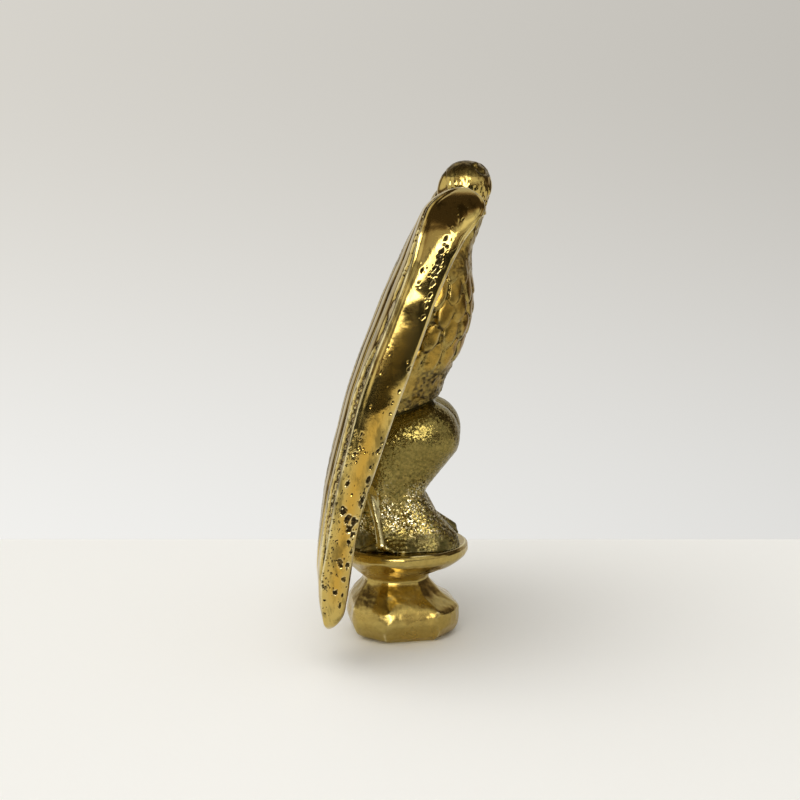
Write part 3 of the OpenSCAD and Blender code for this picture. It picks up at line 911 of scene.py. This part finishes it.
def make_pedestal(material):
    levels, around = dense((190, 430))
    angle = np.linspace(0, 2 * np.pi, around, endpoint=False)[None, :]
    z = np.concatenate([np.linspace(0, 1.2, 12), np.linspace(1.2, 24.2, levels - 26)[1:],
                        np.linspace(24.2, flange_top, 14)[1:]])[:, None]
    radius = pedestal_radius(angle, z)
    wave = 0.25 * np.sin(3 * angle + 0.6) + 0.16 * np.sin(7 * angle + 2.1)
    wave = wave + 0.09 * np.sin(13 * angle)
    # the waist leans backward, and the flange's lip is uneven
    x = radius * np.cos(angle) - 1.8 * smoothstep(7, 12, z) * (1 - smoothstep(16.5, 20.5, z))
    y = radius * np.sin(angle)
    grid = np.stack([x, y, z + 1.1 * wave * bump(z - 21.4, 1.7)], axis=-1)
    outward = ring_normals(grid)
    lift = 0.3 * noise(grid, 6.0, 91) + 0.11 * noise(grid, 2.6, 92) + 0.03 * noise(grid, 0.9, 93)
    lift += 0.3 * smoothstep(19.6, 21.6, z) * wave
    lift = lift * smoothstep(0, 1.0, z) * (1 - smoothstep(24.8, flange_top, z))
    grid = grid + outward * lift[..., None]

    def ring_at(r, height):
        a = angle[0]
        return np.stack([r * np.cos(a), r * np.sin(a), np.full(around, height)], axis=-1)

    # the flange's upper face, the rod's hole, the counterbore and the base face close the solid
    share = np.linspace(0, 1, dense(34))[1:, None, None]
    top = grid[-1] + (ring_at(bore_r, flange_top) - grid[-1]) * share
    top[..., 2] = flange_top
    far = np.linalg.norm(top[..., :2], axis=2)
    stipple = grain(top, 1.0, 94) * 0.14 * (1 - smoothstep(16.2, 16.9, far))
    stipple = stipple * smoothstep(4, 6, far)
    top[..., 2] -= 0.14 * smoothstep(17.2, 16.4, far) * smoothstep(4, 6, far) - stipple
    inner = [ring_at(bore_r, h) for h in (22.0, 18.5, counterbore_top)]
    inner += [ring_at(r, counterbore_top) for r in (4.4, bush_r)]
    inner += [ring_at(bush_r, h) for h in (10.0, 5.0, 0.0)]
    base = [inner[-1] + (grid[0] - inner[-1]) * q for q in (0.25, 0.5, 0.75)]
    whole = np.concatenate([grid, top, np.stack(inner + base)])
    rows = len(whole)
    k = np.arange(around)
    last = (rows - 1) * around
    closing = np.stack([last + k, last + (k + 1) % around, (k + 1) % around, k], axis=-1)
    verts, faces = whole.reshape(-1, 3), [quads_of(rows, around), closing]

    # the flange is duller under the perch
    pitted = np.zeros((rows, around))
    pitted[len(grid) : len(grid) + len(top)] = 0.3 * (far < 13.5)
    shade = relief(verts, faces, 8, 0.12)
    outer = len(grid) * around
    # the flange's top face, the bore and the base face are kept out of the painted crease shade
    shade[outer:] = np.maximum(shade[outer:], 0.5)
    mesh_piece("pedestal", verts, faces, "pedestal_brass", material, relief=shade,
               form=relief(verts, faces, 60, 0.5), pitted=pitted.reshape(-1))


# ---------------------------------------------------------------- materials


def colour(r, g, b):
    return (r, g, b, 1.0)


class Nodes:
    """Short forms for building a node tree."""

    def __init__(self, tree):
        self.tree = tree

    def add(self, kind, **settings):
        node = self.tree.nodes.new(kind)
        for key, value in settings.items():
            setattr(node, key, value)
        return node

    def fill(self, socket, value):
        """Links an output to the socket, or gives the socket a constant value."""
        if isinstance(value, bpy.types.NodeSocket):
            self.tree.links.new(value, socket)
        else:
            socket.default_value = value

    def ramp(self, value, low, high, start=0.0, end=1.0):
        """A smooth run from start, where the value is low, to end, where it is high."""
        node = self.add("ShaderNodeMapRange", interpolation_type="SMOOTHSTEP")
        for key, number in (("Value", value), ("From Min", low), ("From Max", high),
                            ("To Min", start), ("To Max", end)):
            self.fill(node.inputs[key], number)
        return node.outputs["Result"]

    def calc(self, operation, *values):
        node = self.add("ShaderNodeMath", operation=operation)
        for socket, value in zip(node.inputs, values):
            self.fill(socket, value)
        return node.outputs["Value"]

    def mix(self, share, a, b):
        node = self.add("ShaderNodeMix", data_type="RGBA")
        for index, value in ((0, share), (6, a), (7, b)):
            self.fill(node.inputs[index], value)
        return node.outputs[2]


class Metal(Nodes):
    """A metal's node tree, with patterns that are fixed to the piece. Sizes are in mm."""

    def __init__(self, name):
        self.material = bpy.data.materials.new(name)
        self.material.use_nodes = True
        super().__init__(self.material.node_tree)
        self.shader = self.tree.nodes["Principled BSDF"]
        self.place = self.add("ShaderNodeTexCoord").outputs["Object"]

    def set(self, key, value):
        self.fill(self.shader.inputs[key], value)

    def attribute(self, name):
        return self.add("ShaderNodeAttribute", attribute_name=name).outputs["Fac"]

    def noise(self, size, detail=3.0, stretch=(1, 1, 1), rough=0.55):
        mapping = self.add("ShaderNodeMapping")
        self.fill(mapping.inputs["Vector"], self.place)
        self.fill(mapping.inputs["Scale"], stretch)
        node = self.add("ShaderNodeTexNoise")
        for key, value in (("Vector", mapping.outputs["Vector"]), ("Scale", 1 / (size * MM)),
                           ("Detail", detail), ("Roughness", rough)):
            self.fill(node.inputs[key], value)
        return node.outputs["Fac"]

    def bump(self, height, depth, strength, below=None):
        node = self.add("ShaderNodeBump")
        self.fill(node.inputs["Strength"], strength)
        self.fill(node.inputs["Distance"], depth * MM)
        self.fill(node.inputs["Height"], height)
        if below is not None:
            self.fill(node.inputs["Normal"], below)
        return node.outputs["Normal"]

    def vector(self, operation, *values):
        node = self.add("ShaderNodeVectorMath", operation=operation)
        inputs = [node.inputs[0], node.inputs["Scale" if operation == "SCALE" else 1]]
        for socket, value in zip(inputs, values):
            self.fill(socket, value)
        return node.outputs[0]

    def facets(self, size, tilt, below):
        """Tilts the surface at random in cells, like crystals of sand.

        Gives the new normal, and a random number from 0 to 1 for each cell.
        """
        cells = self.add("ShaderNodeTexVoronoi")
        self.fill(cells.inputs["Vector"], self.place)
        self.fill(cells.inputs["Scale"], 1 / (size * MM))
        centred = self.vector("SUBTRACT", cells.outputs["Color"], (0.5, 0.5, 0.5))
        tilted = self.vector("ADD", below, self.vector("SCALE", centred, tilt))
        apart = self.add("ShaderNodeSeparateColor")
        self.fill(apart.inputs[0], cells.outputs["Color"])
        return self.vector("NORMALIZE", tilted), apart.outputs[2]


pale_gold = colour(0.80, 0.69, 0.36)
clean_gold = colour(0.58, 0.435, 0.13)
orange_gold = colour(0.58, 0.35, 0.06)
silver_gold = colour(0.86, 0.78, 0.52)
olive_brown = colour(0.125, 0.092, 0.024)
olive_green = colour(0.108, 0.096, 0.024)
soot_and_shade_black = colour(0.022, 0.015, 0.006)


def aged_brass(name, recess_shade_and_patina, polish, warmth, patina=0.0, brushed=False, stain=0.0, sparkle=0.0):
    """Cast brass: bright on crests, brown and matt in recesses and hollows, where the brown is
    patina with painted shade, and sooty in pits, with painted shade in the deepest recesses.

    The setting after the name is the strength of that brown, polish the clean metal's
    roughness, warmth the share of orange and patina the dullness of level ground. Brushed brass
    has fine upright streaks, stain adds brown ones, and sparkle tilts silvery grains of sand
    where the piece is sandy.
    """
    n = Metal(name)
    relief_here, form = n.attribute("relief"), n.attribute("form")
    pits, heat = n.attribute("pitted"), n.attribute("warm")
    blotch = n.noise(9, 4)
    speck = n.noise(1.1, 5, rough=0.65)

    orange = n.calc("MAXIMUM", n.ramp(blotch, 0.38, 0.62, 0.0, warmth), heat)
    tone = n.mix(orange, clean_gold, orange_gold)
    dull = n.ramp(speck, 0.3, 0.7, 0.7 * patina, min(1.3 * patina, 1))
    tone = n.mix(dull, tone, olive_brown)
    tone = n.mix(n.ramp(relief_here, 0.55, 0.85), tone, pale_gold)
    # painted shade, with patina: recesses and broad hollows are browned
    low = n.calc("MAXIMUM", n.ramp(relief_here, 0.46, 0.16), n.ramp(form, 0.44, 0.1, 0.0, 0.6))
    brown_shade_and_patina = n.calc("ADD", low, n.ramp(speck, 0.35, 0.75, -0.35, 0.35))
    brown_shade_and_patina = n.ramp(n.calc("MULTIPLY", brown_shade_and_patina, recess_shade_and_patina), 0.05, 0.95)
    tone = n.mix(brown_shade_and_patina, tone, olive_brown)
    if stain:
        streaky = n.noise(3.2, 5, stretch=(1, 1, 0.35), rough=0.65)
        tone = n.mix(n.ramp(streaky, 0.48, 0.66, 0.0, stain), tone, olive_brown)
    # soot in pits, and painted shade: the deepest recesses go near black
    deep = n.calc("MAXIMUM", n.ramp(relief_here, 0.3, 0.02), n.ramp(pits, 0.3, 0.95))
    deep = n.calc("MULTIPLY", deep, n.ramp(speck, 0.25, 0.6, 0.55, 1.0))
    tone = n.mix(deep, tone, soot_and_shade_black)

    n.set("Metallic", n.ramp(deep, 0.2, 0.9, 1.0, 0.0))
    n.set("Specular IOR Level", n.ramp(deep, 0.2, 0.9, 0.5, 0.05))
    rough = n.ramp(blotch, 0.3, 0.7, polish - 0.03, polish + 0.06)
    rough = n.calc("ADD", rough, n.ramp(brown_shade_and_patina, 0, 1, 0.0, 0.24))
    n.set("Roughness", n.calc("ADD", rough, n.ramp(deep, 0, 1, 0.0, 0.3)))

    normal = n.bump(n.noise(0.28, 3), 0.01, 0.5)
    if brushed:
        normal = n.bump(n.noise(0.5, 3, stretch=(1, 1, 0.06)), 0.012, 1.0, normal)
    if sparkle:
        sandy = n.attribute("sandy")
        between = n.calc("MULTIPLY", n.ramp(n.noise(0.8, 3), 0.42, 0.6, 0.0, 0.95), sandy)
        tone = n.mix(between, tone, olive_green)
        tone = n.mix(n.ramp(sandy, 0.95, 0.4, 0.0, 0.38), tone, olive_green)
        normal, chance = n.facets(0.3, n.calc("MULTIPLY", sandy, sparkle), normal)
        bright = n.calc("MULTIPLY", n.ramp(chance, 0.74, 0.88), n.ramp(sandy, 0.6, 1.0))
        tone = n.mix(bright, tone, silver_gold)
        sooty = n.ramp(n.noise(1.3, 4, rough=0.7), 0.56, 0.68, 0.0, 0.9)
        tone = n.mix(n.calc("MULTIPLY", sooty, sandy), tone, soot_and_shade_black)
    else:
        normal = n.bump(n.noise(2.2, 2), 0.05, 0.6, normal)
    n.set("Base Color", tone)
    n.set("Normal", normal)
    return n.material


def machined_metal(name, tone, polish):
    """Turned or drawn metal with fine tool marks and a few dull patches."""
    n = Metal(name)
    marks = n.noise(0.3, 3, stretch=(0.2, 0.2, 1))
    patch = n.noise(4, 4)
    dulled = colour(*(0.6 * c for c in tone[:3]))
    n.set("Base Color", n.mix(n.ramp(patch, 0.45, 0.75), tone, dulled))
    n.set("Metallic", 1.0)
    n.set("Roughness", n.ramp(patch, 0.3, 0.7, polish, polish + 0.18))
    n.set("Normal", n.bump(marks, 0.03, 0.6))
    return n.material


body_brass = aged_brass("body_brass", recess_shade_and_patina=1.4, polish=0.26, warmth=0.7, patina=0.5)
head_brass = aged_brass("head_brass", recess_shade_and_patina=0.9, polish=0.15, warmth=0.3, patina=0.15)
wing_brass = aged_brass("wing_brass", recess_shade_and_patina=0.8, polish=0.09, warmth=0.2, brushed=True, stain=0.7)
stippled_brass = aged_brass("stippled_brass", recess_shade_and_patina=1.0, polish=0.24, warmth=0.1, patina=0.5,
                            sparkle=0.55)
pedestal_brass = aged_brass("pedestal_brass", recess_shade_and_patina=0.9, polish=0.23, warmth=0.25, patina=0.32)
steel = machined_metal("zinc_steel", colour(0.62, 0.62, 0.63), 0.3)
bush_brass = machined_metal("bush_brass", colour(0.82, 0.62, 0.25), 0.22)

make_wing(-1, "right_wing", wing_brass)
make_wing(1, "left_wing", wing_brass)
make_torso(body_brass)
make_head(head_brass)
make_legs(stippled_brass)
make_tail(wing_brass)
make_pedestal(pedestal_brass)

for node in ("wing_dowels", "neck_pin", "tail_pin", "register_pins", "tie_rod", "tie_washer",
             "tie_nut", "mount_bush"):
    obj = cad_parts[node]
    obj.data.materials.clear()
    obj.data.materials.append(bush_brass if node == "mount_bush" else steel)


# ---------------------------------------------------------------- stage and lights


def card(name, x, y, z, material):
    """A flat rectangle of the stage, from its (low, high) x and y and its height, in metres."""
    corners = [(x[0], y[0], z), (x[1], y[0], z), (x[1], y[1], z), (x[0], y[1], z)]
    mesh = bpy.data.meshes.new(name)
    mesh.from_pydata(corners, [], [(0, 1, 2, 3)])
    obj = bpy.data.objects.new(name, mesh)
    bpy.context.scene.collection.objects.link(obj)
    obj.data.materials.append(material)
    return obj


def matt(name, level):
    material = bpy.data.materials.new(name)
    material.use_nodes = True
    shader = material.node_tree.nodes["Principled BSDF"]
    shader.inputs["Base Color"].default_value = (level, level, level * 0.985, 1)
    shader.inputs["Roughness"].default_value = 0.9
    shader.inputs["Specular IOR Level"].default_value = 0.1
    return material


# The table's far edge lies just behind the object, against the pale backdrop
floor = card("floor", (-3, 3), (-3, 0.0965), 0, matt("white_paper", 0.94))
floor.rotation_euler[2] = math.radians(3.5)

# In front of the paper the table is dark, which shows only in the brass
dark = card("dark_card", (-0.9, 0.9), (-3, -0.225), 0.0004, matt("dark_cloth", 0.03))
dark.visible_camera = False
dark.visible_diffuse = False
dark.visible_shadow = False
dark.visible_transmission = False
dark.visible_volume_scatter = False

# Soft windows: bearing from the viewer's side and half width, lowest and highest elevation,
# softness, all in degrees, and brightness
studio_windows = [(-3, 20, 4.5, 31, 3, 7.0), (0, 46, 5, 52, 6, 0.45), (70, 24, 2, 34, 8, 0.65),
                  (40, 27, 30, 68, 9, 0.65), (-80, 30, -14, 34, 8, 0.9)]


def studio_world():
    """Plain pale light everywhere, and in reflections a dark room with a few soft windows."""
    world = bpy.data.worlds.new("studio")
    bpy.context.scene.world = world
    world.use_nodes = True
    world.node_tree.nodes.clear()
    n = Nodes(world.node_tree)

    def background(tone, strength):
        node = n.add("ShaderNodeBackground")
        n.fill(node.inputs["Color"], tone)
        n.fill(node.inputs["Strength"], strength)
        return node.outputs[0]

    split = n.add("ShaderNodeSeparateXYZ")
    n.fill(split.inputs[0], n.add("ShaderNodeTexCoord").outputs["Generated"])
    x, y, z = split.outputs
    degrees = 180 / math.pi
    rise = n.calc("MULTIPLY", n.calc("ARCSINE", z), degrees)
    turn = n.calc("MULTIPLY", n.calc("ARCTAN2", x, n.calc("MULTIPLY", y, -1.0)), degrees)

    # what is reflected: a dim wall behind the object, and the windows
    wall = n.ramp(n.calc("ABSOLUTE", turn), 118, 148)
    wall = n.calc("MULTIPLY", wall, n.ramp(rise, 62, 48))
    level = n.calc("MULTIPLY_ADD", wall, 0.6, 0.06)
    for centre, half, low, high, soft, power in studio_windows:
        off = n.calc("ABSOLUTE", n.calc("SUBTRACT", turn, centre))
        window = n.calc("MULTIPLY", n.ramp(rise, low - soft, low + soft),
                        n.ramp(rise, high + soft, high - soft))
        window = n.calc("MULTIPLY", n.ramp(off, half + soft, half - soft), window)
        level = n.calc("ADD", level, n.calc("MULTIPLY", window, power))
    tone = n.mix(n.ramp(level, 0.1, 0.7), colour(1.0, 0.72, 0.5), colour(1.0, 0.98, 0.94))
    reflected = background(tone, level)

    # what lights the scene: paler and brighter below the horizon, and toward -X
    glow = n.ramp(rise, 2, -17)
    tone = n.mix(glow, colour(1.0, 0.965, 0.89), colour(1.0, 0.995, 0.97))
    level = n.calc("MULTIPLY_ADD", glow, 0.22, 0.59)
    plain = background(tone, n.calc("SUBTRACT", level, n.calc("MULTIPLY", x, 0.3)))

    mix = n.add("ShaderNodeMixShader")
    n.fill(mix.inputs[0], n.add("ShaderNodeLightPath").outputs["Is Glossy Ray"])
    n.fill(mix.inputs[1], plain)
    n.fill(mix.inputs[2], reflected)
    n.fill(n.add("ShaderNodeOutputWorld").inputs["Surface"], mix.outputs[0])


studio_world()

# A soft panel lights the floor and keeps out of reflections
panel = bpy.data.lights.new("top_panel", "AREA")
panel.shape = "DISK"
panel.size = 1.8
panel.energy = 12
top_panel = bpy.data.objects.new("top_panel", panel)
bpy.context.scene.collection.objects.link(top_panel)
top_panel.location = (-0.25, -0.5, 1.4)
top_panel.rotation_euler = (-top_panel.location).to_track_quat("-Z", "Y").to_euler()
top_panel.visible_glossy = False


# ---------------------------------------------------------------- camera

camera_azimuth = math.radians(-3.5)
camera_distance = 455.0
camera_height = 144.94
camera_pitch = math.radians(10.136)
focal_pixels = 1734.0
shift_pixels = -2
frame_pixels = 800
film = 36.0
camera_data = bpy.data.cameras.new("camera")
camera_data.sensor_width = film
camera_data.lens = focal_pixels / frame_pixels * film
camera_data.shift_x = shift_pixels / frame_pixels
camera_data.clip_start = 0.01
camera = bpy.data.objects.new("camera", camera_data)
bpy.context.scene.collection.objects.link(camera)
camera.location = Vector((
    -camera_distance * math.sin(camera_azimuth),
    -camera_distance * math.cos(camera_azimuth),
    camera_height)) * MM
camera.rotation_euler = (math.pi / 2 - camera_pitch, 0, -camera_azimuth)
bpy.context.scene.camera = camera
bpy.context.scene.view_settings.view_transform = "Standard"
